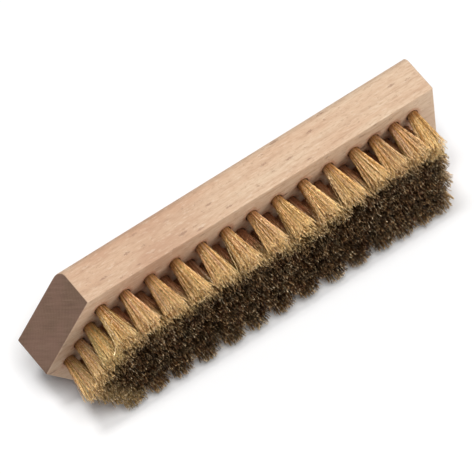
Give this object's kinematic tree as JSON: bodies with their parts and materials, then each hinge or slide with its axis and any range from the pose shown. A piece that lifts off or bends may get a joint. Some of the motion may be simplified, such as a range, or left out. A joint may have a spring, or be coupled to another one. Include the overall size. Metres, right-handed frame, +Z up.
{
  "type": "wire brush",
  "caption": "Wooden block brush, pointed at one end and square at the other, with staggered rows of staple-set crimped brass wire tufts.",
  "frame": {"origin": "half way along the block's length, in the plane of the tuft face, at the bottom side face that the brush rests on", "axes": "+Z up across the block's width, +X along the block towards its square heel (the pointed nose is at -X), +Y from the tuft face towards the flat back, so the wire tufts point to -Y"},
  "size_m": [0.1859, 0.04, 0.06],
  "materials": {
    "beech": "bare sanded beech, no varnish",
    "brass_wire": "fine crimped brass wire, slightly dull",
    "staple_steel": "flat galvanised wire, cut short"
  },
  "bodies": {
    "root": {"brush_block": "beech", "tufts_cross_row_01": "brass_wire", "tufts_cross_row_02": "brass_wire", "tufts_cross_row_03": "brass_wire", "tufts_cross_row_04": "brass_wire", "tufts_cross_row_05": "brass_wire", "tufts_cross_row_06": "brass_wire", "tufts_cross_row_07": "brass_wire", "tufts_cross_row_08": "brass_wire", "tufts_cross_row_09": "brass_wire", "tufts_cross_row_10": "brass_wire", "tufts_cross_row_11": "brass_wire", "tufts_cross_row_12": "brass_wire", "tufts_cross_row_13": "brass_wire", "tufts_cross_row_14": "brass_wire", "tufts_cross_row_15": "brass_wire", "tufts_cross_row_16": "brass_wire", "tufts_cross_row_17": "brass_wire", "tufts_cross_row_18": "brass_wire", "tufts_cross_row_19": "brass_wire", "tufts_cross_row_20": "brass_wire", "tufts_cross_row_21": "brass_wire", "tufts_cross_row_22": "brass_wire", "tufts_cross_row_23": "brass_wire", "tufts_cross_row_24": "brass_wire", "tufts_cross_row_25": "brass_wire", "tufts_cross_row_26": "brass_wire", "tufts_cross_row_27": "brass_wire", "tufts_cross_row_28": "brass_wire", "tufts_cross_row_29": "brass_wire", "tufts_cross_row_30": "brass_wire", "staples_long_row_1": "staple_steel", "staples_long_row_2": "staple_steel", "staples_long_row_3": "staple_steel", "staples_long_row_4": "staple_steel", "staples_long_row_5": "staple_steel", "staples_long_row_6": "staple_steel", "staples_long_row_7": "staple_steel"}
  },
  "joints": []
}
